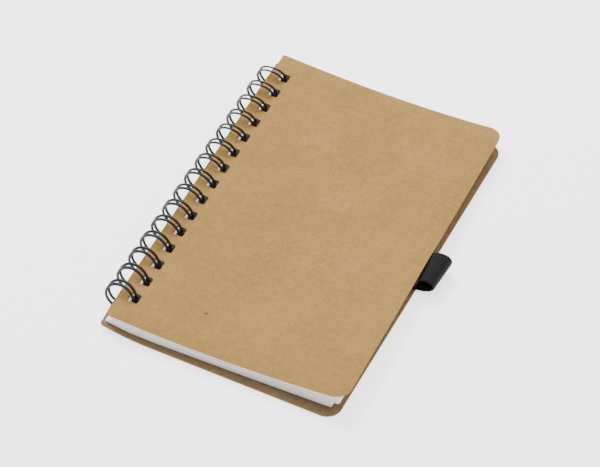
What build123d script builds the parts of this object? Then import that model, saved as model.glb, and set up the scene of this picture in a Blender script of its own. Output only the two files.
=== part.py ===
# Wire-bound sketchbook with card covers and an elastic pencil loop.
# Millimetres. +Z up, the closed book lies on z = 0. The pieces are drawn with the binding's axis along
# Y through x = 0 and moved at the end, so that the origin is under the middle of the whole book.
# The sheets lie towards +X, so the fore-edge is the +X side and the covers open about the binding's axis.
import os
from math import acos, asin, cos, degrees, radians, sin, sqrt

from build123d import *

os.makedirs("parts", exist_ok=True)

# binding
PITCH = 12.7  # loops along the spine, 2:1 pitch
LOOPS = 15
WIRE_D = 1.2
RING_R = 8.0  # radius of the wire's centre line
RING_FLOAT = 1.0  # the wire's lowest point above the table
RING_Z = RING_R + WIRE_D / 2 + RING_FLOAT  # height of the binding's axis
PAIR = 3.0  # distance between the two strands of one loop
TIP_DEG = -92.0  # where the closed tips of the loops end, under the book
RUN_DEG = 232.0  # where the strand runs from loop to loop, under the book
RUN_BEND = 1.0  # bend radius from a strand into a run

# holes, measured from a piece's spine edge
HOLE_EDGE = RING_R - 3.0
HOLE_X = 5.6
HOLE_SLACK = 1.8  # room along the spine beside the two strands
HOLE_Y = PAIR + WIRE_D + HOLE_SLACK

# covers
COVER_W = 132.0
END_MARGIN = 16.1  # from the last loop's middle to the end of the covers
COVER_L = PITCH * (LOOPS - 1) + 2 * END_MARGIN
CARD_T = 0.8
COVER_CORNER = 8.0  # rounded fore-edge corners
SPINE_CORNER = 1.2
FRONT_EDGE = 0.05  # x of the front cover's spine edge
BACK_EDGE = 3.9 - RING_R  # x of the back cover's spine edge, inside the loops
CURL_END = 24.0  # the pieces curl up towards the spine from here
CURL_RISE = 3.8  # lift of the back cover's spine edge
LIFT_FROM = 45.0  # the sheets and front cover rise towards the fore-edge from here
LIFT_SPAN = COVER_W - LIFT_FROM
LIFT_SHEETS = 2.9  # rise of the lowest sheet at the end of that span
LIFT_FRONT = 3.3  # rise of the front cover

# sheets
FORE_INSET = 6.0  # the sheets are this much narrower than the covers
SHEET_W = COVER_W - FORE_INSET
END_INSET = 2.0  # the sheets stop this short of each end of the covers
SHEET_L = COVER_L - 2 * END_INSET
SHEET_T = 0.17  # the single top sheet
BUNDLE_T = 0.435  # bundles of sheets that lie pressed together
SHEET_GAP = 0.015
BUNDLES = 17
LOW_COUNT = 4  # lowest bundles, pulled furthest round the binding
LOW_EDGE = BACK_EDGE + 1.1  # x of the lowest bundle's spine edge before it is trimmed
LOW_TRIM = 1.8  # strip off that edge, so that the bundle turns clear of the back cover
MID_COUNT = 4

# pencil loop
BAND_T = 0.9
BAND_W = 20.0
BAND_Y = -4.2  # middle of the band along the fore-edge
BORE_R = 4.7
LOOP_REACH = 3.9  # from the back cover's fore-edge to the loop's near side
BORE_X = BACK_EDGE + COVER_W + LOOP_REACH + BAND_T + BORE_R
LOOP_FLOAT = 1.6  # the loop's lowest point above the table
BORE_Z = LOOP_FLOAT + BAND_T + BORE_R
TAIL_IN = 10.9  # how far the two glued tails reach in from the fore-edge
TAIL_X = BACK_EDGE + COVER_W - TAIL_IN
BEND_R = 2.0  # bend of the upper tail into the loop
SWING_R = 10.0  # arcs that carry the lower tail up to the loop

AXIS = Axis((0, 0, RING_Z), (0, -1, 0))  # turning about it lifts the fore-edge


def arc_height(x, from_x, radius):
    """Height over its tangent point of an upright circle that touches a level line at from_x."""
    return radius - sqrt(radius**2 - (x - from_x) ** 2)


def radius_for(span, rise):
    return (span**2 + rise**2) / (2 * rise)


CURL_R = radius_for(CURL_END - BACK_EDGE, CURL_RISE)


def strip(edge, width, base, thick, lift):
    """Closed outline in XZ of one curled piece: its lower face, then the same curve moved up."""
    end = edge + width

    def curve(dz):
        z = base + dz
        curl = [(x, z + arc_height(x, CURL_END, CURL_R)) for x in (edge, (edge + CURL_END) / 2)]
        first = ThreePointArc(*curl, (CURL_END, z))
        if lift == 0:
            return [first, Line((CURL_END, z), (end, z))]
        radius = radius_for(LIFT_SPAN, lift)
        rise = [(x, z + arc_height(x, LIFT_FROM, radius)) for x in ((LIFT_FROM + end) / 2, end)]
        return [
            first,
            Line((CURL_END, z), (LIFT_FROM, z)),
            ThreePointArc((LIFT_FROM, z), *rise),
        ]

    low, high = curve(0.0), curve(thick)
    sides = [Line(high[0] @ 0, low[0] @ 0), Line(high[-1] @ 1, low[-1] @ 1)]
    return make_face(Plane.XZ * Curve(low + high + sides))


def plan(edge, width, length, corner, spine_corner, trim):
    """Upright prism with a piece's outline and its row of holes."""
    box = Pos(edge + (width + trim) / 2, 0, 12) * Box(width - trim, length, 40)
    if corner > 0:
        box = fillet(box.edges().filter_by(Axis.Z).group_by(Axis.X)[-1], corner)
    if spine_corner > 0:
        box = fillet(box.edges().filter_by(Axis.Z).group_by(Axis.X)[0], spine_corner)
    hole = Pos(edge + HOLE_EDGE + HOLE_X / 2, 0, 12) * Box(HOLE_X, HOLE_Y, 42)
    first = -PITCH * (LOOPS - 1) / 2
    return box - [Pos(0, first + PITCH * i, 0) * hole for i in range(LOOPS)]


def leaf(edge, width, length, base, thick, lift, corner=0.0, spine_corner=0.0, trim=0.0):
    """One curled card or sheet with its holes; trim takes a strip off its spine edge."""
    bar = extrude(strip(edge, width, base, thick, lift), amount=length / 2 + 1, both=True)
    return bar & plan(edge, width, length, corner, spine_corner, trim)


def sheet(i):
    """Leaf number i, counted from the back cover. The last one is the single top sheet."""
    if i < LOW_COUNT:
        edge = LOW_EDGE + 0.3 * i
    elif i < LOW_COUNT + MID_COUNT:
        edge = 0.1 + 0.25 * (i - LOW_COUNT)
    else:
        edge = 1.2
    base = CARD_T + SHEET_GAP + i * (BUNDLE_T + SHEET_GAP)
    lift = LIFT_SHEETS + (LIFT_FRONT - LIFT_SHEETS) * i / (BUNDLES + 1)
    thick = SHEET_T if i == BUNDLES else BUNDLE_T
    trim = LOW_TRIM if i == 0 else 0.0
    return leaf(edge, SHEET_W, SHEET_L, base, thick, lift, trim=trim)


def binding():
    """One strand bent into a row of twin loops, closed under the book."""
    r = WIRE_D / 2
    # frame at the ring's rightmost point: x outwards, y along the spine, z along the strand
    turned = lambda deg, piece: piece.rotate(AXIS, deg)
    ring = Plane((RING_R, 0, RING_Z), x_dir=(1, 0, 0), z_dir=(0, 0, 1))
    section = ring * Circle(r)
    arc = turned(TIP_DEG, revolve(section, AXIS, RUN_DEG - TIP_DEG))
    half = PAIR / 2
    spoke = Axis((0, 0, RING_Z), (1, 0, 0))
    tip = turned(TIP_DEG, revolve(Pos(0, -half, 0) * section, spoke, 180))
    if (tip.center() - Vector(0, 0, RING_Z)).Z > 0:
        tip = turned(TIP_DEG, revolve(Pos(0, -half, 0) * section, spoke, -180))
    # the strand turns from the ring into the run along the spine
    side = Axis((0, half + RUN_BEND, RING_Z), (1, 0, 0))
    bend = revolve(Pos(0, half, 0) * section, side, 90)
    if bend.bounding_box().max.Z < RING_Z + RUN_BEND:
        bend = revolve(Pos(0, half, 0) * section, side, -90)
    span = PITCH - PAIR - 2 * RUN_BEND
    run_plane = Plane((RING_R, half + RUN_BEND, RING_Z + RUN_BEND), x_dir=(1, 0, 0), z_dir=(0, 1, 0))
    run = extrude(run_plane * Circle(r), amount=span)
    back = mirror(bend, Plane((0, PITCH / 2, 0), z_dir=(0, 1, 0)))
    link = [turned(RUN_DEG, p) for p in (bend, run, back)]
    loop = [Pos(0, -half, 0) * arc, tip, Pos(0, half, 0) * arc]
    pieces = []
    for i in range(LOOPS):
        y = PITCH * (i - (LOOPS - 1) / 2)
        pieces += [Pos(0, y, 0) * p for p in loop]
        if i < LOOPS - 1:
            pieces += [Pos(0, y, 0) * p for p in link]
    solids = [s for p in pieces for s in p.solids()]
    return solids[0].fuse(*solids[1:])


def pencil_loop():
    """Webbing band: two tails glued on the back cover, standing out as a round loop."""
    h = BAND_T / 2
    mid = BORE_R + h
    low = CARD_T + h
    high = low + BAND_T
    left = BORE_X - mid
    # the lower layer swings up to the loop through two equal arcs
    climb = BORE_Z - mid - low
    theta = degrees(acos(1 - climb / (2 * SWING_R)))
    start = BORE_X - 2 * SWING_R * sin(radians(theta))
    elbow = (left - BEND_R, high + BEND_R)
    outer = [
        Line((TAIL_X, low - h), (start, low - h)),
        CenterArc((start, low + SWING_R), SWING_R + h, -90, theta),
        CenterArc((BORE_X, BORE_Z - mid - SWING_R), SWING_R - h, 90 + theta, -theta),
        CenterArc((BORE_X, BORE_Z), BORE_R + BAND_T, -90, 270),
        Line((left - h, BORE_Z), (left - h, elbow[1])),
        CenterArc(elbow, BEND_R - h, 0, -90),
        Line((elbow[0], high + h), (TAIL_X, high + h)),
        Line((TAIL_X, high + h), (TAIL_X, low - h)),
    ]
    # the layers part a little way out from the elbow
    turn = CenterArc(elbow, BEND_R + h, 0, -60)
    part = turn @ 1
    phi = degrees(asin((part.X - start) / (SWING_R - h)))
    foot = (part.X, low + SWING_R - (SWING_R - h) * cos(radians(phi)))
    inner = [
        CenterArc((BORE_X, BORE_Z), BORE_R, -90, 270),
        Line((left + h, BORE_Z), (left + h, elbow[1])),
        turn,
        Line(part, foot),
        CenterArc((start, low + SWING_R), SWING_R - h, -90 + phi, theta - phi),
        CenterArc((BORE_X, BORE_Z - mid - SWING_R), SWING_R + h, 90 + theta, -theta),
    ]
    band = make_face(Plane.XZ * Curve(outer)) - make_face(Plane.XZ * Curve(inner))
    return Pos(0, BAND_Y, 0) * extrude(band, amount=BAND_W / 2, both=True)


pieces = {
    "front_cover": leaf(
        FRONT_EDGE,
        COVER_W,
        COVER_L,
        CARD_T + BUNDLES * (BUNDLE_T + SHEET_GAP) + SHEET_T + 2 * SHEET_GAP,
        CARD_T,
        LIFT_FRONT,
        COVER_CORNER,
        SPINE_CORNER,
    ),
    "back_cover": leaf(BACK_EDGE, COVER_W, COVER_L, 0.0, CARD_T, 0.0, COVER_CORNER, SPINE_CORNER),
    "binding_wire": binding(),
    "pen_loop": pencil_loop(),
}
groups = {
    "sheets_bottom": range(0, 4),
    "sheets_low": range(4, 8),
    "sheets_middle": range(8, 12),
    "sheets_high": range(12, BUNDLES),
    "sheet_top": range(BUNDLES, BUNDLES + 1),
}
for name, numbers in groups.items():
    pieces[name] = Compound([s for i in numbers for s in sheet(i).solids()])

# middle of the outermost points of the wire and the pencil loop
MIDDLE_X = (BORE_X + BORE_R + BAND_T - RING_R - WIRE_D / 2) / 2
for name, piece in pieces.items():
    solids = [Pos(-MIDDLE_X, 0, 0) * s for s in piece.solids()]
    shape = solids[0] if len(solids) == 1 else Compound(solids)
    export_step(shape, f"parts/{name}.step")
    box = shape.bounding_box()
    print(name, len(solids), box.min, box.max, round(shape.volume, 2))
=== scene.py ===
import math

import bmesh
import bpy
import numpy as np
from mathutils import Matrix, Vector
from mathutils.geometry import delaunay_2d_cdt


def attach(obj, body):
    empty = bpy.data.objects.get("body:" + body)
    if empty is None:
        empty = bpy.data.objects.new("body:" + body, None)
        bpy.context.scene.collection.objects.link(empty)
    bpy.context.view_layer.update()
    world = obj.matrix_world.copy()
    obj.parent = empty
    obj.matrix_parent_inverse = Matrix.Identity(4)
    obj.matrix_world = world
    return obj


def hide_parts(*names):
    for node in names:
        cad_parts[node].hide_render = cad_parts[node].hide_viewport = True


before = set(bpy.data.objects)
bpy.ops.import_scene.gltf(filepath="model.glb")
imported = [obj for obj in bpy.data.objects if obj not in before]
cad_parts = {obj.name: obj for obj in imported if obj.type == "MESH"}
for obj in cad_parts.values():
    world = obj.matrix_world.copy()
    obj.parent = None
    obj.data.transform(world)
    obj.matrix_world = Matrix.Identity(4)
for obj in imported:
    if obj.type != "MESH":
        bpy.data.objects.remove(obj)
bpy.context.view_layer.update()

# ---------------------------------------------------------------- sizes, mm
MIDDLE_X = 67.2  # from the binding's axis to the middle of the book
PITCH = 12.7
LOOPS = 15
RING_R = 8.0
RING_Z = 9.6
PAIR = 3.0
WIRE_D = 1.48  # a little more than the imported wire's 1.2
TIP_DEG, RUN_DEG, RUN_BEND = -92.0, 232.0, 1.0
CARD_T = 0.8
CARD_BREAK = 0.16  # bevel on the card's cut edges
COVER_W, COVER_L = 132.0, 210.0
FRONT_SPINE, BACK_SPINE = 0.05, -4.1  # where each cover's spine edge lies
FORE_R = 8.0  # fore-edge corners of the covers
HOLE_EDGE, HOLE_X, HOLE_Y, HOLE_R = 5.0, 5.6, 6.0, 0.9
SHEET_HOLE_Y, SHEET_HOLE_R = 7.4, 0.7
SHEET_W, SHEET_L, SHEET_T = 126.2, 206.0, 0.13
LEAVES_LOW, LEAVES_HIGH = 15, 22
CURL_END, CURL_R = 24.0, 105.8
RISE_FROM = 45.0  # where the fore-edge side starts to lift
FRONT_UNIT, FRONT_LIMIT = 148.0, 134.0  # the front cover's curve is drawn over FRONT_UNIT
FRONT_NEAR, FRONT_FAR = (12.78, -13.83, 19.89, -2.7), (12.78, -16.08, 9.77, 4.59)
HOLE_ROWS = [PITCH * (i - (LOOPS - 1) / 2) for i in range(LOOPS)]


def to_frame(points):
    """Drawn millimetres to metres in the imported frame."""
    p = np.array(points, float).reshape(-1, 3) * 0.001
    p[:, 0] -= MIDDLE_X * 0.001
    return p


# ---------------------------------------------------------------- how the book lies
def spine_curl(x):
    """Everything bends up a little towards the wire."""
    return np.clip(CURL_END - x, 0, None) ** 2 / (2 * CURL_R)


def fore_rise(x):
    """How much of the fore-edge lift there is at x."""
    return (np.clip(x - RISE_FROM, 0, None) / (COVER_W - RISE_FROM)) ** 2


def cubic(terms, u):
    a, b, c, d = terms
    return a + b * u + c * u**2 + d * u**3


def front_top(x, y):
    """Top face of the front cover, higher at the near fore-edge corner than at the far one."""
    u = np.clip(x, 0, FRONT_LIMIT) / FRONT_UNIT
    t = (y + COVER_L / 2) / COVER_L
    return cubic(FRONT_NEAR, u) * (1 - t) + cubic(FRONT_FAR, u) * t


def back_top(x, y):
    """Upper face of the back cover."""
    past = np.clip(-2.0 - x, 0, None)
    return CARD_T + spine_curl(x) + 0.12 * past**2


def block_low(x, y):
    """Under face of the lowest sheet."""
    v = y / (COVER_L / 2)
    lift = np.clip(2.6 - 0.2 * v - 2.2 * v**2, 0.05, None)
    return back_top(x, y) + 0.03 + lift * fore_rise(x)


def block_high(x, y):
    """Top face of the highest sheet, under the front cover."""
    return front_top(x, y) - CARD_T - 0.06


# ---------------------------------------------------------------- materials
def colour(r, g, b):
    """Linear colour from 0-255 display values."""
    return tuple(
        (c / 255 / 12.92 if c / 255 <= 0.04045 else ((c / 255 + 0.055) / 1.055) ** 2.4) for c in (r, g, b)
    ) + (1.0,)


class Shade:
    """A small helper for one material's nodes."""

    def __init__(self, name):
        self.material = bpy.data.materials.new(name)
        self.material.use_nodes = True
        self.tree = self.material.node_tree
        self.shader = self.tree.nodes["Principled BSDF"]
        self.place = self.add("ShaderNodeTexCoord").outputs["Object"]

    def add(self, kind, **values):
        node = self.tree.nodes.new(kind)
        for key, value in values.items():
            setattr(node, key, value)
        return node

    def feed(self, node, socket, value):
        target = node.inputs[socket]
        if isinstance(value, bpy.types.NodeSocket):
            self.tree.links.new(value, target)
        else:
            target.default_value = value

    def stretched(self, scale, turn=(0, 0, 0)):
        node = self.add("ShaderNodeMapping")
        self.feed(node, "Vector", self.place)
        self.feed(node, "Scale", scale)
        self.feed(node, "Rotation", turn)
        return node.outputs["Vector"]

    def noise(self, scale, detail=4.0, rough=0.55, source=None, warp=0.0):
        node = self.add("ShaderNodeTexNoise")
        self.feed(node, "Vector", source or self.place)
        self.feed(node, "Scale", scale)
        self.feed(node, "Detail", detail)
        self.feed(node, "Roughness", rough)
        self.feed(node, "Distortion", warp)
        return node.outputs["Fac"]

    def steps(self, value, *stops):
        """Colour ramp: stops are (position, colour)."""
        node = self.add("ShaderNodeValToRGB")
        ramp = node.color_ramp
        while len(ramp.elements) < len(stops):
            ramp.elements.new(0.5)
        for element, (at, shade) in zip(ramp.elements, stops):
            element.position = at
            element.color = shade
        self.feed(node, "Fac", value)
        return node.outputs["Color"]

    def blend(self, kind, amount, a, b):
        node = self.add("ShaderNodeMix", data_type="RGBA", blend_type=kind)
        self.feed(node, 0, amount)
        self.feed(node, 6, a)
        self.feed(node, 7, b)
        return node.outputs[2]

    def calc(self, operation, a, b):
        node = self.add("ShaderNodeMath", operation=operation)
        self.feed(node, 0, a)
        self.feed(node, 1, b)
        return node.outputs[0]

    def relief(self, height, depth, strength=1.0):
        node = self.add("ShaderNodeBump")
        self.feed(node, "Height", height)
        self.feed(node, "Distance", depth)
        self.feed(node, "Strength", strength)
        self.feed(self.shader, "Normal", node.outputs["Normal"])


def kraft_card(name, shade, fleck=None):
    """Unbleached card: soft mottling, short fibres lying every way, small dark and pale specks."""
    s = Shade(name)
    r, g, b = shade
    base = colour(r, g, b)
    dark = colour(r - 5, g - 5, b - 5)
    pale = colour(r + 6, g + 6, b + 6)
    cloud = s.noise(46.0, 4.0, 0.6)
    tint = s.steps(cloud, (0.3, dark), (0.5, base), (0.72, pale))
    patch = s.noise(330.0, 4.0, 0.65)
    tint = s.blend("MULTIPLY", 0.9, tint, s.steps(patch, (0.36, (0.86, 0.85, 0.82, 1)), (0.64, (1, 1, 1, 1))))
    grain = s.noise(1300.0, 3.0, 0.7)
    tint = s.blend("MULTIPLY", 0.9, tint, s.steps(grain, (0.34, (0.76, 0.74, 0.7, 1)), (0.62, (1, 1, 1, 1))))
    fibres = []
    for turn, reach in ((0.4, (150, 1500, 300)), (1.5, (170, 1700, 300)), (2.6, (130, 1400, 300))):
        strand = s.noise(1.0, 2.0, 0.5, s.stretched(reach, (0, 0, turn)), 0.6)
        fibres.append(s.steps(strand, (0.63, (0, 0, 0, 1)), (0.74, (1, 1, 1, 1))))
    light = s.blend("ADD", 1.0, s.blend("ADD", 1.0, fibres[0], fibres[1]), fibres[2])
    tint = s.blend("MIX", s.calc("MULTIPLY", light, 0.22), tint, colour(r + 26, g + 28, b + 28))
    specks = s.add("ShaderNodeTexVoronoi", feature="F1")
    s.feed(specks, "Vector", s.place)
    s.feed(specks, "Scale", 210.0)
    spot = s.calc("LESS_THAN", specks.outputs["Distance"], 0.085)
    some = s.calc("GREATER_THAN", s.noise(75.0, 2.0, 0.5), 0.56)
    tint = s.blend("MIX", s.calc("MULTIPLY", s.calc("MULTIPLY", spot, some), 0.5), tint, colour(96, 66, 38))
    if fleck:
        # one longer dark fibre pressed into the face
        centre, size, turn = fleck
        shift = s.add("ShaderNodeMapping", vector_type="TEXTURE")
        s.feed(shift, "Vector", s.place)
        s.feed(shift, "Location", centre)
        s.feed(shift, "Rotation", (0, 0, turn))
        s.feed(shift, "Scale", size)
        ball = s.add("ShaderNodeTexGradient", gradient_type="SPHERICAL")
        s.feed(ball, "Vector", shift.outputs["Vector"])
        mark = s.steps(ball.outputs["Fac"], (0.15, (0, 0, 0, 1)), (0.55, (1, 1, 1, 1)))
        tint = s.blend("MIX", s.calc("MULTIPLY", mark, 0.8), tint, colour(84, 62, 42))
    s.feed(s.shader, "Base Color", tint)
    s.feed(s.shader, "Roughness", s.calc("ADD", s.calc("MULTIPLY", grain, 0.14), 0.76))
    s.feed(s.shader, "Specular IOR Level", 0.28)
    rough_face = s.calc("ADD", s.calc("MULTIPLY", grain, 0.6), s.calc("MULTIPLY", light, 0.5))
    s.relief(rough_face, 0.00006, 0.5)
    return s.material


def toned(tone, *shades):
    """These display colours, darkened by the tone."""
    return [colour(*(c * tone for c in shade)) for shade in shades]


def cut_card(name, tone=1.0):
    """The cut edge of the card: layered, a little rougher and greyer than the face; a tone below 1 darkens it
    as painted shade.
    """
    s = Shade(name)
    layers = s.noise(1.0, 3.0, 0.6, s.stretched((260, 260, 9000)))
    low, middle, high = toned(tone, (126, 98, 60), (158, 127, 82), (182, 151, 106))
    tint = s.steps(layers, (0.3, low), (0.55, middle), (0.8, high))
    s.feed(s.shader, "Base Color", tint)
    s.feed(s.shader, "Roughness", 0.92)
    s.feed(s.shader, "Specular IOR Level", 0.2)
    s.relief(layers, 0.00005, 0.6)
    return s.material


def white_paper(name):
    """Uncoated white sheet with a faint tooth."""
    s = Shade(name)
    cloud = s.noise(60.0, 4.0, 0.6)
    tint = s.steps(cloud, (0.3, colour(244, 243, 240)), (0.7, colour(250, 249, 247)))
    tooth = s.noise(1600.0, 3.0, 0.7)
    worn = s.steps(tooth, (0.3, (0.95, 0.95, 0.94, 1)), (0.7, (1, 1, 1, 1)))
    s.feed(s.shader, "Base Color", s.blend("MULTIPLY", 0.3, tint, worn))
    s.feed(s.shader, "Roughness", s.calc("ADD", s.calc("MULTIPLY", tooth, 0.1), 0.82))
    s.feed(s.shader, "Specular IOR Level", 0.25)
    s.relief(tooth, 0.00003, 0.5)
    return s.material


def cut_paper(name, tone=1.0):
    """Trimmed edges of the sheets; the punched ones are darker, as painted shade."""
    s = Shade(name)
    run = s.noise(1.0, 4.0, 0.65, s.stretched((45, 45, 5200)))
    low, middle, high = toned(tone, (228, 226, 222), (244, 243, 240), (252, 251, 249))
    tint = s.steps(run, (0.25, low), (0.5, middle), (0.75, high))
    s.feed(s.shader, "Base Color", tint)
    s.feed(s.shader, "Roughness", 0.9)
    s.feed(s.shader, "Specular IOR Level", 0.2)
    s.relief(run, 0.00004, 0.5)
    return s.material


def black_wire(name):
    """Steel wire with a thin black coat."""
    s = Shade(name)
    wear = s.noise(700.0, 3.0, 0.6)
    s.feed(s.shader, "Base Color", s.steps(wear, (0.3, colour(18, 18, 20)), (0.75, colour(34, 34, 37))))
    s.feed(s.shader, "Roughness", s.calc("ADD", s.calc("MULTIPLY", wear, 0.16), 0.34))
    s.feed(s.shader, "Specular IOR Level", 0.4)
    s.feed(s.shader, "Coat Weight", 0.08)
    s.feed(s.shader, "Coat Roughness", 0.3)
    s.relief(wear, 0.00001, 0.4)
    return s.material


def black_webbing(name):
    """Woven elastic: fine stitches across each rib, read along the band's own length and width."""
    s = Shade(name)
    along = s.add("ShaderNodeUVMap", uv_map="band").outputs["UV"]
    ticks = s.add("ShaderNodeTexWave", wave_type="BANDS", bands_direction="X", wave_profile="SIN")
    s.feed(ticks, "Vector", along)
    s.feed(ticks, "Scale", 0.55)
    s.feed(ticks, "Distortion", 0.35)
    s.feed(ticks, "Detail", 2.0)
    fuzz = s.noise(3.2, 4.0, 0.7, along)
    weave = s.calc("ADD", s.calc("MULTIPLY", ticks.outputs["Fac"], 0.6), s.calc("MULTIPLY", fuzz, 0.6))
    tint = s.steps(weave, (0.25, colour(6, 6, 6)), (0.6, colour(15, 14, 14)), (0.95, colour(30, 29, 29)))
    s.feed(s.shader, "Base Color", tint)
    s.feed(s.shader, "Roughness", s.calc("ADD", s.calc("MULTIPLY", fuzz, 0.2), 0.66))
    s.feed(s.shader, "Specular IOR Level", 0.2)
    s.feed(s.shader, "Sheen Weight", 0.08)
    s.feed(s.shader, "Sheen Roughness", 0.45)
    s.relief(weave, 0.00012, 0.6)
    return s.material


# one dark fibre near the near edge of the front cover: centre, size and turn, in the frame
FLECK = ((-0.0227, -0.0813, 0.0102), (0.0016, 0.0009, 0.02), 0.25)
# the walls of the punched holes are made darker than the cut edges: painted shade, as they look in shade
HOLE_CARD_PAINTED_SHADE, HOLE_PAPER_PAINTED_SHADE = 0.7, 0.5

kraft_face = kraft_card("kraft_card_face", (168, 132, 70), FLECK)
# painted shade: the back cover is the same kraft made darker and greyer, as it lies in the shade of the book
kraft_inner_painted_shade = kraft_card("kraft_card_back_painted_shade", (138, 116, 82))
kraft_edge = cut_card("kraft_card_cut")
# painted shade: the punched card walls get the cut-card colour darkened to 0.7
kraft_hole_painted_shade = cut_card("kraft_card_punched_painted_shade", HOLE_CARD_PAINTED_SHADE)
paper_face = white_paper("sheet_face")
paper_edge = cut_paper("sheet_cut")
# painted shade: the punched sheet walls get the cut-paper colour at half brightness
paper_hole_painted_shade = cut_paper("sheet_punched_painted_shade", HOLE_PAPER_PAINTED_SHADE)
wire_coat = black_wire("wire_coat")
elastic = black_webbing("elastic_webbing")


# ---------------------------------------------------------------- cut card and paper
def rounded(x0, x1, y0, y1, spine_r, fore_r, near_r=None):
    """Outline of a card, sheet or hole; near_r is the near spine corner, where it differs."""
    near_r = near_r or spine_r
    points = []
    for cx, cy, r, start in (
        (x1 - fore_r, y0 + fore_r, fore_r, -90),
        (x1 - fore_r, y1 - fore_r, fore_r, 0),
        (x0 + spine_r, y1 - spine_r, spine_r, 90),
        (x0 + near_r, y0 + near_r, near_r, 180),
    ):
        n = 9 if r > 3 else 3
        for k in range(n + 1):
            a = math.radians(start + 90 * k / n)
            points.append((cx + r * math.cos(a), cy + r * math.sin(a)))
    return points


def split_long(points, reach):
    """The same closed outline with no side longer than reach."""
    out = []
    for a, b in zip(points, points[1:] + points[:1]):
        n = max(1, math.ceil(math.dist(a, b) / reach))
        out += [(a[0] + (b[0] - a[0]) * k / n, a[1] + (b[1] - a[1]) * k / n) for k in range(n)]
    return out


def flat_blank(name, outline, hole_x, hole_y, hole_r, thick, step, move=None):
    """A flat closed blank with its row of holes.

    Material slot 0 is above and below, 1 on the cut edges and 2 in the holes. Grid points inside
    the outline, step apart, let the blank bend; move shifts it in its own plane.
    """
    rim, corner_clear = 2, 9
    rings = [outline]
    for y in HOLE_ROWS:
        rings.append(rounded(hole_x, hole_x + HOLE_X, y - hole_y / 2, y + hole_y / 2, hole_r, hole_r))
    points, edges = [], []
    for ring in rings:
        first = len(points)
        points += ring
        edges += [(first + k, first + (k + 1) % len(ring)) for k in range(len(ring))]
    left, right = min(p[0] for p in outline), max(p[0] for p in outline)
    near, far = min(p[1] for p in outline), max(p[1] for p in outline)
    for i in range(1, math.ceil((right - left) / step)):
        for j in range(1, math.ceil((far - near) / (step * 2))):
            x = left + i * step
            y = near + j * step * 2
            inside = left + rim < x < right - rim and near + rim < y < far - rim
            corner = x > right - corner_clear and (y < near + corner_clear or y > far - corner_clear)
            if inside and not corner and not hole_x - 1 < x < hole_x + HOLE_X + 1:
                points.append((x, y))
    flat, _, faces, *_ = delaunay_2d_cdt([Vector(p) for p in points], edges, [], 1, 1e-5)
    keep = []
    for face in faces:
        c = sum((flat[v] for v in face), Vector((0, 0))) / len(face)
        in_hole = hole_x < c.x < hole_x + HOLE_X and any(abs(c.y - y) < hole_y / 2 for y in HOLE_ROWS)
        if not in_hole:
            keep.append(face)
    if move:
        flat = [Vector(move(p.x, p.y)) for p in flat]
    n = len(flat)
    verts = [(p.x, p.y, thick / 2) for p in flat] + [(p.x, p.y, -thick / 2) for p in flat]
    faces, slots = [], []
    count = {}
    for face in keep:
        a, b, c = (flat[v] for v in face)
        if (b - a).cross(c - a) < 0:
            face = face[::-1]
        faces.append(list(face))
        faces.append([v + n for v in reversed(face)])
        slots += [0, 0]
        for u, v in zip(face, face[1:] + face[:1]):
            count[(u, v)] = count.get((u, v), 0) + 1
    for u, v in list(count):
        if (v, u) not in count:
            middle = (flat[u] + flat[v]) / 2
            in_row = any(abs(middle.y - y) < hole_y / 2 + 0.1 for y in HOLE_ROWS)
            punched = in_row and abs(middle.x - hole_x - HOLE_X / 2) < HOLE_X / 2 + 0.1
            faces.append([v, u, u + n, v + n])
            slots.append(2 if punched else 1)
    mesh = bpy.data.meshes.new(name)
    mesh.from_pydata(verts, [], faces)
    mesh.polygons.foreach_set("material_index", slots)
    mesh.attributes.new("cut", "BOOLEAN", "FACE").data.foreach_set("value", [k == 1 for k in slots])
    mesh.attributes.new("punched", "BOOLEAN", "FACE").data.foreach_set("value", [k == 2 for k in slots])
    mesh.update()
    drop_loose(mesh)
    return mesh


def drop_loose(mesh):
    """Removes the points that no face uses."""
    work = bmesh.new()
    work.from_mesh(mesh)
    bmesh.ops.delete(work, geom=[v for v in work.verts if not v.link_faces], context="VERTS")
    work.to_mesh(mesh)
    work.free()


def piece(name, mesh, *materials):
    made = bpy.data.objects.new(name, mesh)
    bpy.context.scene.collection.objects.link(made)
    for m in materials:
        mesh.materials.append(m)
    return made


def coordinates(mesh):
    co = np.zeros(len(mesh.vertices) * 3)
    mesh.vertices.foreach_get("co", co)
    return co.reshape(-1, 3)


def put(mesh, co):
    mesh.vertices.foreach_set("co", np.asarray(co, float).ravel())
    mesh.update()


def smooth_by_angle(mesh, degrees=35):
    mesh.polygons.foreach_set("use_smooth", [True] * len(mesh.polygons))
    work = bmesh.new()
    work.from_mesh(mesh)
    for e in work.edges:
        if len(e.link_faces) == 2:
            sharp = e.calc_face_angle(0) > math.radians(degrees)
            e.smooth = not sharp
    work.to_mesh(mesh)
    work.free()


def plain(made):
    """Turns the piece's live modifiers into a plain mesh and removes them."""
    graph = bpy.context.evaluated_depsgraph_get()
    mesh = bpy.data.meshes.new_from_object(
        made.evaluated_get(graph), preserve_all_data_layers=True, depsgraph=graph
    )
    made.modifiers.clear()
    made.data = mesh
    return mesh


def softened(made, width):
    """Breaks the sharp cut edges."""
    bevel = made.modifiers.new("bevel", "BEVEL")
    bevel.width = width
    bevel.segments = 2
    bevel.limit_method = "ANGLE"
    bevel.angle_limit = math.radians(50)
    return plain(made)


def cover(name, outline, spine, face, surface, move=None):
    """One cover, bent to lie on the surface."""
    mesh = flat_blank(name, outline, spine + HOLE_EDGE, HOLE_Y, HOLE_R, CARD_T, 5.0, move)
    made = piece(name, mesh, face, kraft_edge, kraft_hole_painted_shade)
    mesh = softened(made, CARD_BREAK)
    co = coordinates(mesh)
    co[:, 2] += surface(co[:, 0], co[:, 1]) - CARD_T / 2
    put(mesh, to_frame(co))
    smooth_by_angle(mesh)
    return made


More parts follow.
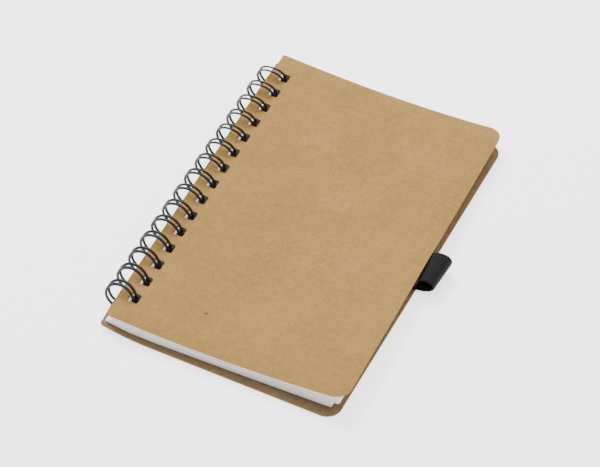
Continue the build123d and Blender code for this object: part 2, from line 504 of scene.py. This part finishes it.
def cover_outline(spine, spine_r, near_r=None):
    """A cover's outline, its spine edge at the given x."""
    ends = -COVER_L / 2, COVER_L / 2
    return split_long(rounded(spine, spine + COVER_W, *ends, spine_r, FORE_R, near_r), 6.0)


front_outline = cover_outline(FRONT_SPINE, 1.0, 2.4)
front_card = cover("front_card", front_outline, FRONT_SPINE, kraft_face, front_top)


SKEW = 0.0256  # turn of the back cover, radians
SKEW_X, SKEW_Y = -3.5, -105.8  # the point it turns about
SHIFT_X, SHIFT_Y = 0.5, -0.8


def ramp(value, start, reach):
    """0 up to the start, rising to 1 over the reach."""
    return min(1.0, max(0.0, (value - start) / reach))


def back_lie(x, y):
    """The back cover lies a little askew under the sheets; round its holes it stays on the wire."""
    free = ramp(x, 8.0, 18.0)
    if y < 0:  # the near spine corner, past the last hole, is free too
        free = max(free, ramp(abs(y), 94.0, 8.0))
    moved_x = x + SHIFT_X + SKEW * (y - SKEW_Y)
    moved_y = y + SHIFT_Y - SKEW * (x - SKEW_X)
    return (x + (moved_x - x) * free, y + (moved_y - y) * free)


back_outline = cover_outline(BACK_SPINE, 1.2)
back_card = cover("back_card", back_outline, BACK_SPINE, kraft_inner_painted_shade, back_top, back_lie)


# ---------------------------------------------------------------- sheets
def node_tree(name, *inputs):
    """A geometry tree with named inputs: (name, socket type, value)."""
    tree = bpy.data.node_groups.new(name, "GeometryNodeTree")
    tree.interface.new_socket("Geometry", in_out="INPUT", socket_type="NodeSocketGeometry")
    tree.interface.new_socket("Geometry", in_out="OUTPUT", socket_type="NodeSocketGeometry")
    for label, kind, value in inputs:
        socket = tree.interface.new_socket(label, in_out="INPUT", socket_type=kind)
        if value is not None:
            socket.default_value = value
    return tree


class Grow:
    """Adds nodes to a geometry tree."""

    def __init__(self, tree):
        self.tree = tree
        self.given = tree.nodes.new("NodeGroupInput").outputs
        self.out = tree.nodes.new("NodeGroupOutput").inputs[0]

    def node(self, kind, inputs=None, **values):
        node = self.tree.nodes.new(kind)
        for key, value in values.items():
            setattr(node, key, value)
        for key, value in (inputs or {}).items():
            if isinstance(value, bpy.types.NodeSocket):
                self.tree.links.new(value, node.inputs[key])
            else:
                node.inputs[key].default_value = value
        return node


def with_tree(made, tree, **values):
    """Runs the tree on the piece and keeps the result as a plain mesh."""
    m = made.modifiers.new(tree.name, "NODES")
    m.node_group = tree
    for item in tree.interface.items_tree:
        if item.item_type == "SOCKET" and item.in_out == "INPUT" and item.name in values:
            m[item.identifier] = values[item.name]
    return plain(made)


def stack_tree():
    """Repeats one blank sheet upwards, each copy knocked slightly out of line."""
    tree = node_tree(
        "stack_of_sheets",
        ("Sheets", "NodeSocketInt", 20),
        ("Slip", "NodeSocketFloat", 0.3),
        ("Turn", "NodeSocketFloat", 0.001),
        ("Seed", "NodeSocketInt", 3),
        ("Face", "NodeSocketMaterial", None),
        ("Cut edge", "NodeSocketMaterial", None),
        ("Hole wall", "NodeSocketMaterial", None),
    )
    g = Grow(tree)
    line = g.node("GeometryNodeMeshLine", {"Count": g.given["Sheets"], "Offset": (0, 0, 1)})
    slip = g.given["Slip"]
    low = g.node("ShaderNodeVectorMath", {0: (-1, -0.8, 0), "Scale": slip}, operation="SCALE")
    high = g.node("ShaderNodeVectorMath", {0: (1, 0.8, 0), "Scale": slip}, operation="SCALE")
    knock = g.node(
        "FunctionNodeRandomValue",
        {"Min": low.outputs[0], "Max": high.outputs[0], "Seed": g.given["Seed"]},
        data_type="FLOAT_VECTOR",
    )
    moved = g.node("GeometryNodeSetPosition", {"Geometry": line.outputs[0], "Offset": knock.outputs[0]})
    minus = g.node("ShaderNodeMath", {0: g.given["Turn"], 1: -1.0}, operation="MULTIPLY")
    twist = g.node(
        "FunctionNodeRandomValue",
        {"Min": minus.outputs[0], "Max": g.given["Turn"], "Seed": g.given["Seed"]},
        data_type="FLOAT",
    )
    spin = g.node("ShaderNodeCombineXYZ", {"Z": twist.outputs[1]})
    copies = g.node(
        "GeometryNodeInstanceOnPoints",
        {"Points": moved.outputs[0], "Instance": g.given["Geometry"], "Rotation": spin.outputs[0]},
    )
    number = g.node("GeometryNodeInputIndex")
    kept = g.node(
        "GeometryNodeStoreNamedAttribute",
        {"Geometry": copies.outputs[0], "Name": "leaf", "Value": number.outputs[0]},
        data_type="FLOAT",
        domain="INSTANCE",
    )
    real = g.node("GeometryNodeRealizeInstances", {0: kept.outputs[0]})
    side = g.node("GeometryNodeInputNamedAttribute", {"Name": "cut"}, data_type="BOOLEAN")
    faced = g.node("GeometryNodeSetMaterial", {"Geometry": real.outputs[0], "Material": g.given["Face"]})
    edged = g.node(
        "GeometryNodeSetMaterial",
        {"Geometry": faced.outputs[0], "Selection": side.outputs[0], "Material": g.given["Cut edge"]},
    )
    hole = g.node("GeometryNodeInputNamedAttribute", {"Name": "punched"}, data_type="BOOLEAN")
    walled = g.node(
        "GeometryNodeSetMaterial",
        {"Geometry": edged.outputs[0], "Selection": hole.outputs[0], "Material": g.given["Hole wall"]},
    )
    tree.links.new(walled.outputs[0], g.out)
    return tree


sheet_stack = stack_tree()
TOTAL = LEAVES_LOW + LEAVES_HIGH + 1
RIPPLE = 0.05


def sheet_pile(name, body, nodes, edge, hole_edge, count, first, slip, seed, slides=(0.0, 0.0)):
    """One pile of sheets that turns as one, bent between the covers.

    edge is its spine edge, hole_edge the holes' distance from it, and first the number of sheets
    under the pile. slides is how far its top sheet is pushed out at the spine and the fore-edge.
    """
    spine_slide, fore_slide = slides
    outline = split_long(rounded(edge, edge + SHEET_W, -SHEET_L / 2, SHEET_L / 2, 0.5, 1.2), 14.0)
    mesh = flat_blank(name, outline, edge + hole_edge, SHEET_HOLE_Y, SHEET_HOLE_R, SHEET_T, 12.0)
    made = piece(name, mesh)
    # the hole walls get the cut-paper material darkened as painted shade
    finish = {"Face": paper_face, "Cut edge": paper_edge, "Hole wall": paper_hole_painted_shade}
    mesh = with_tree(made, sheet_stack, Sheets=count, Slip=slip, Turn=0.0006, Seed=seed, **finish)
    leaf = np.zeros(len(mesh.vertices))
    mesh.attributes["leaf"].data.foreach_get("value", leaf)
    mesh.attributes.remove(mesh.attributes["leaf"])
    co = coordinates(mesh)
    within = co[:, 2] - leaf  # height inside the sheet's own thickness
    rng = np.random.default_rng(seed)
    wave = rng.uniform(-1, 1, (count, 3))
    k = np.round(leaf).astype(int)
    x, y = co[:, 0], co[:, 1]
    # each sheet sits a little further from the wire than the one under it
    outward = np.clip(x / 125, 0, 1)
    x = x + (spine_slide * (1 - outward) + fore_slide * outward) * k / count
    low, high = block_low(x, y), block_high(x, y)
    share = (k + first + 0.5) / TOTAL
    # a slow wave along the spine, each sheet's own, that grows towards the fore-edge
    ripple = RIPPLE * np.sin(y / 34 + wave[k, 0] * 3) * wave[k, 1] * np.clip((x - 60) / 70, 0, 1)
    z = low + (high - low) * share + ripple
    put(mesh, to_frame(np.stack([x, y, z + within], 1)))
    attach(made, body)
    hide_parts(*nodes)
    return made


sheet_pile(
    "lower_sheets", "pages_lower", ("sheets_bottom", "sheets_low"),
    edge=-2.4, hole_edge=4.4, count=LEAVES_LOW, first=0, slip=0.16, seed=11, slides=(3.2, 0.8),
)
sheet_pile(
    "upper_sheets", "pages_upper", ("sheets_middle", "sheets_high"),
    edge=1.6, hole_edge=3.9, count=LEAVES_HIGH, first=LEAVES_LOW, slip=0.16, seed=5, slides=(0.9, 0.9),
)
sheet_pile(
    "first_sheet", "top_leaf", ("sheet_top",),
    edge=2.3, hole_edge=4.0, count=1, first=LEAVES_LOW + LEAVES_HIGH, slip=0.05, seed=2,
)


# ---------------------------------------------------------------- wire
LEAN_NEAR, LEAN_CHANGE = 1.6, -4.1  # lean along the spine at the near end, and its change to the far end
LEAN_FROM, LEAN_REACH = 3.0, 15.0  # height where the lean starts, and the rise over which it grows
FAR_PUSH, FAR_TUCK, NEAR_LIFT = 1.5, 0.05, 0.045


def loop_path():
    """Points of one twin loop and its run to the next one, y measured from the loop's middle."""
    half = PAIR / 2

    def ring(deg, y, along=0.0):
        a = math.radians(deg)
        return (
            RING_R * math.cos(a) - along * math.sin(a),
            y,
            RING_Z + RING_R * math.sin(a) + along * math.cos(a),
        )

    points = []
    for k in range(5):  # out of the run, round its bend
        t = math.radians(90 * k / 4)
        points.append(ring(RUN_DEG, -half - RUN_BEND * (1 - math.sin(t)), RUN_BEND * math.cos(t)))
    steps = 36
    down = [RUN_DEG + (TIP_DEG - RUN_DEG) * k / steps for k in range(1, steps)]
    points += [ring(d, -half) for d in down]
    for k in range(9):  # the closed tip
        t = math.radians(180 * k / 8)
        points.append(ring(TIP_DEG, -half * math.cos(t), -half * math.sin(t)))
    points += [ring(d, half) for d in reversed(down)]
    for k in range(5):
        t = math.radians(90 * k / 4)
        points.append(ring(RUN_DEG, half + RUN_BEND * (1 - math.cos(t)), RUN_BEND * math.sin(t)))
    return points


def strand_tree():
    """Repeats the twin loop along the spine, joins the runs and gives the strand its thickness."""
    tree = node_tree(
        "strand_of_loops",
        ("Loops", "NodeSocketInt", LOOPS),
        ("Pitch", "NodeSocketFloat", PITCH),
        ("Radius", "NodeSocketFloat", WIRE_D / 2),
        ("Sides", "NodeSocketInt", 12),
        ("Coat", "NodeSocketMaterial", None),
    )
    g = Grow(tree)
    step = g.node("ShaderNodeCombineXYZ", {"Y": g.given["Pitch"]})
    less = g.node("ShaderNodeMath", {0: g.given["Loops"], 1: -1.0}, operation="ADD")
    span = g.node("ShaderNodeMath", {0: less.outputs[0], 1: g.given["Pitch"]}, operation="MULTIPLY")
    begin = g.node("ShaderNodeMath", {0: span.outputs[0], 1: -0.5}, operation="MULTIPLY")
    start = g.node("ShaderNodeCombineXYZ", {"Y": begin.outputs[0]})
    line = g.node(
        "GeometryNodeMeshLine",
        {"Count": g.given["Loops"], "Start Location": start.outputs[0], "Offset": step.outputs[0]},
    )
    copies = g.node(
        "GeometryNodeInstanceOnPoints", {"Points": line.outputs[0], "Instance": g.given["Geometry"]}
    )
    real = g.node("GeometryNodeRealizeInstances", {0: copies.outputs[0]})
    joined = g.node("GeometryNodeMergeByDistance", {"Geometry": real.outputs[0], "Distance": 0.01})
    path = g.node("GeometryNodeMeshToCurve", {"Mesh": joined.outputs[0]})
    round_ = g.node(
        "GeometryNodeCurvePrimitiveCircle", {"Resolution": g.given["Sides"], "Radius": g.given["Radius"]}
    )
    tube = g.node(
        "GeometryNodeCurveToMesh",
        {"Curve": path.outputs[0], "Profile Curve": round_.outputs[0], "Fill Caps": True},
    )
    soft = g.node("GeometryNodeSetShadeSmooth", {0: tube.outputs[0]})
    coat = g.node("GeometryNodeSetMaterial", {"Geometry": soft.outputs[0], "Material": g.given["Coat"]})
    tree.links.new(coat.outputs[0], g.out)
    return tree


def strand():
    points = loop_path()
    half = PITCH / 2
    run_start = (points[0][0], -half, points[0][2])
    run_end = (points[-1][0], half, points[-1][2])
    points = [run_start] + points + [run_end]
    mesh = bpy.data.meshes.new("wire_strand")
    mesh.from_pydata(points, [(k, k + 1) for k in range(len(points) - 1)], [])
    made = piece("wire_strand", mesh)
    sizes = {"Loops": LOOPS, "Pitch": PITCH, "Radius": WIRE_D / 2, "Sides": 12}
    mesh = with_tree(made, strand_tree(), **sizes, Coat=wire_coat)
    co = coordinates(mesh)
    # the loops lean along the spine, one way at the near end and the other way at the far end
    far = np.clip(co[:, 1] / (PITCH * (LOOPS - 1)) + 0.5, 0, 1)
    height = np.clip(co[:, 2] - LEAN_FROM, 0, None)
    share = (height / LEAN_REACH) ** 3
    co[:, 1] += (LEAN_NEAR + LEAN_CHANGE * far) * share
    co[:, 0] *= np.where(co[:, 0] < 0, 1 - FAR_TUCK * far, 1)
    co[:, 0] += FAR_PUSH * far * share
    co[:, 2] += (NEAR_LIFT - NEAR_LIFT * far) * height
    put(mesh, to_frame(co))
    return made


wire = strand()
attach(wire, "base")
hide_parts("binding_wire")

# ---------------------------------------------------------------- pencil loop
BAND_Y, BAND_W, BAND_T = -4.1, 20.0, 0.9
TAIL_LOW, TAIL_HIGH = 1.27, 2.14  # the two tails, one over the other
LOOP_Z = 7.0  # middle of the loop
RIBS, RIB_STEPS = 11, 6
FURROW_OUT, FURROW_IN = 0.34, 0.18  # how deep the furrows are outside and inside the loop
SELVEDGE = 0.55  # the selvedges' share of the full thickness
FAR_OUT, FAR_UP, FAR_TALL = 1.0, 0.55, 0.05  # how the loop grows towards its far end


def band_path():
    """Along the lower tail, round the loop and back along the upper tail, as (x, z)."""
    low, high = TAIL_LOW, TAIL_HIGH
    points = [(120.0, low), (123.0, low), (126.5, low)]
    points += [(130.0, 1.4), (133.2, 1.85), (136.1, 2.55), (138.8, 3.7)]
    points += [(140.8, 5.4), (141.7, 7.5), (141.1, 9.5), (139.2, 10.9), (136.5, 11.3), (133.7, 10.7)]
    points += [(131.9, 9.3), (131.2, 7.3), (130.9, 5.3), (130.2, 3.7), (128.8, 2.7)]
    points += [(126.5, high + 0.05), (123.0, high), (120.0, high)]
    return points


def ribbed_section():
    """Cross-section of the elastic: soft ribs side by side, thin at the two selvedges."""
    outer, inner = [], []
    total = RIBS * RIB_STEPS
    for k in range(total + 1):
        w = -BAND_W / 2 + BAND_W * k / total
        hill = abs(math.sin(math.pi * k / RIB_STEPS)) ** 0.6
        edge = SELVEDGE + (1 - SELVEDGE) * min(1.0, min(k, total - k) / 3.0)
        outer.append((w, (BAND_T / 2 - FURROW_OUT + FURROW_OUT * hill) * edge))
        inner.append((w, -(BAND_T / 2 - FURROW_IN + FURROW_IN * hill) * edge))
    return outer + inner[::-1]


def band_tree():
    """Carries the ribbed section along the band's path."""
    tree = node_tree(
        "ribbed_band",
        ("Spacing", "NodeSocketFloat", 0.5),
        ("Section", "NodeSocketObject", None),
        ("Elastic", "NodeSocketMaterial", None),
    )
    g = Grow(tree)
    path = g.node("GeometryNodeMeshToCurve", {"Mesh": g.given["Geometry"]})
    smooth = g.node("GeometryNodeCurveSplineType", {"Curve": path.outputs[0]}, spline_type="CATMULL_ROM")
    fine = g.node(
        "GeometryNodeResampleCurve", {"Curve": smooth.outputs[0], "Length": g.given["Spacing"]}, mode="LENGTH"
    )
    shape = g.node("GeometryNodeObjectInfo", {"Object": g.given["Section"]})
    section = g.node("GeometryNodeMeshToCurve", {"Mesh": shape.outputs["Geometry"]})
    length = g.node("GeometryNodeSplineParameter")
    marked = g.node(
        "GeometryNodeStoreNamedAttribute",
        {"Geometry": fine.outputs[0], "Name": "along", "Value": length.outputs["Length"]},
        data_type="FLOAT",
        domain="POINT",
    )
    around = g.node(
        "GeometryNodeStoreNamedAttribute",
        {"Geometry": section.outputs[0], "Name": "around", "Value": length.outputs["Length"]},
        data_type="FLOAT",
        domain="POINT",
    )
    band = g.node(
        "GeometryNodeCurveToMesh",
        {"Curve": marked.outputs[0], "Profile Curve": around.outputs[0], "Fill Caps": True},
    )
    soft = g.node("GeometryNodeSetShadeSmooth", {0: band.outputs[0]})
    cloth = g.node("GeometryNodeSetMaterial", {"Geometry": soft.outputs[0], "Material": g.given["Elastic"]})
    tree.links.new(cloth.outputs[0], g.out)
    return tree


def closed(n):
    """Edges round n points."""
    return [(k, (k + 1) % n) for k in range(n)]


def pencil_band():
    section_points = ribbed_section()
    section_mesh = bpy.data.meshes.new("band_section")
    section_mesh.from_pydata([(w, t, 0) for w, t in section_points], closed(len(section_points)), [])
    section = piece("band_section", section_mesh)
    path_points = band_path()
    mesh = bpy.data.meshes.new("elastic_loop")
    chain = [(k, k + 1) for k in range(len(path_points) - 1)]
    mesh.from_pydata([(x, 0, z) for x, z in path_points], chain, [])
    made = piece("elastic_loop", mesh)
    mesh = with_tree(made, band_tree(), Spacing=0.5, Section=section, Elastic=elastic)
    bpy.data.objects.remove(section)
    along = np.zeros(len(mesh.vertices))
    around = np.zeros(len(mesh.vertices))
    mesh.attributes["along"].data.foreach_get("value", along)
    mesh.attributes["around"].data.foreach_get("value", around)
    uv = mesh.uv_layers.new(name="band")
    corner = np.zeros(len(mesh.loops), int)
    mesh.loops.foreach_get("vertex_index", corner)
    uv.data.foreach_set("uv", np.stack([along[corner], around[corner]], 1).ravel())
    for name in ("along", "around"):
        mesh.attributes.remove(mesh.attributes[name])
    co = coordinates(mesh)
    co[:, 1] += BAND_Y
    # its far end stands higher and further out than its near, flatter end
    far = np.clip((co[:, 1] - BAND_Y) / (BAND_W / 2), -1, 1)
    out = np.clip((co[:, 0] - 128.5) / 5, 0, 1)  # 0 along the tails, 1 on the loop
    co[:, 0] += FAR_OUT * far * out * np.clip((co[:, 0] - 131) / 10, 0, 1)
    above = np.clip((co[:, 2] - 1.5) / 3, 0, 1)
    co[:, 2] += (FAR_UP * far + FAR_TALL * far * (co[:, 2] - LOOP_Z)) * out * above
    put(mesh, to_frame(co))
    work = bmesh.new()
    work.from_mesh(mesh)
    bmesh.ops.recalc_face_normals(work, faces=work.faces)
    work.to_mesh(mesh)
    work.free()
    return made


band = pencil_band()
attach(band, "base")
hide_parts("pen_loop")

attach(front_card, "cover")
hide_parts("front_cover")
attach(back_card, "base")
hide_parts("back_cover")


# ---------------------------------------------------------------- table, light and camera
def pale_table():
    """A wide pale floor; it glows a little, so that it stays near white."""
    mesh = bpy.data.meshes.new("table")
    r = 3.0  # half its width, m
    mesh.from_pydata([(-r, -r, 0), (r, -r, 0), (r, r, 0), (-r, r, 0)], [], [(0, 1, 2, 3)])
    s = Shade("table_white")
    s.feed(s.shader, "Base Color", (0.98, 0.98, 0.98, 1))
    s.feed(s.shader, "Roughness", 0.9)
    s.feed(s.shader, "Specular IOR Level", 0.1)
    s.feed(s.shader, "Emission Color", (1, 1, 1, 1))
    s.feed(s.shader, "Emission Strength", 1.8)
    made = piece("table", mesh, s.material)
    return made


pale_table()


def softbox(name, place, aim, size, power):
    data = bpy.data.lights.new(name, "AREA")
    data.shape = "RECTANGLE"
    data.size, data.size_y = size
    data.energy = power
    lamp = bpy.data.objects.new(name, data)
    bpy.context.scene.collection.objects.link(lamp)
    lamp.location = place
    lamp.rotation_mode = "QUATERNION"
    lamp.rotation_quaternion = (Vector(aim) - Vector(place)).to_track_quat("-Z", "Y")


softbox("window_left", (-0.9, 0.8, 1.5), (0, 0, 0), (0.9, 0.9), 48.0)
softbox("fill_top", (0.1, 0.2, 2.2), (0, 0, 0), (1.6, 1.6), 24.0)

world = bpy.data.worlds.new("studio")
bpy.context.scene.world = world
world.use_nodes = True
world.node_tree.nodes["Background"].inputs["Color"].default_value = (1, 1, 1, 1)
world.node_tree.nodes["Background"].inputs["Strength"].default_value = 0.7

CAMERA_PLACE = (0.354981, -0.800645, 0.956167)
camera_data = bpy.data.cameras.new("studio_camera")
camera_data.lens = 148.077
camera_data.sensor_width = 36.0
camera = bpy.data.objects.new("studio_camera", camera_data)
bpy.context.scene.collection.objects.link(camera)
right = Vector((0.906728, 0.421628, 0.0086))
down = Vector((0.316153, -0.666121, -0.675522))
ahead = Vector((-0.279091, 0.615233, -0.73729))
turn = Matrix((right, -down, -ahead)).transposed().to_4x4()
camera.matrix_world = Matrix.Translation(CAMERA_PLACE) @ turn
bpy.context.scene.camera = camera

bpy.context.view_layer.update()
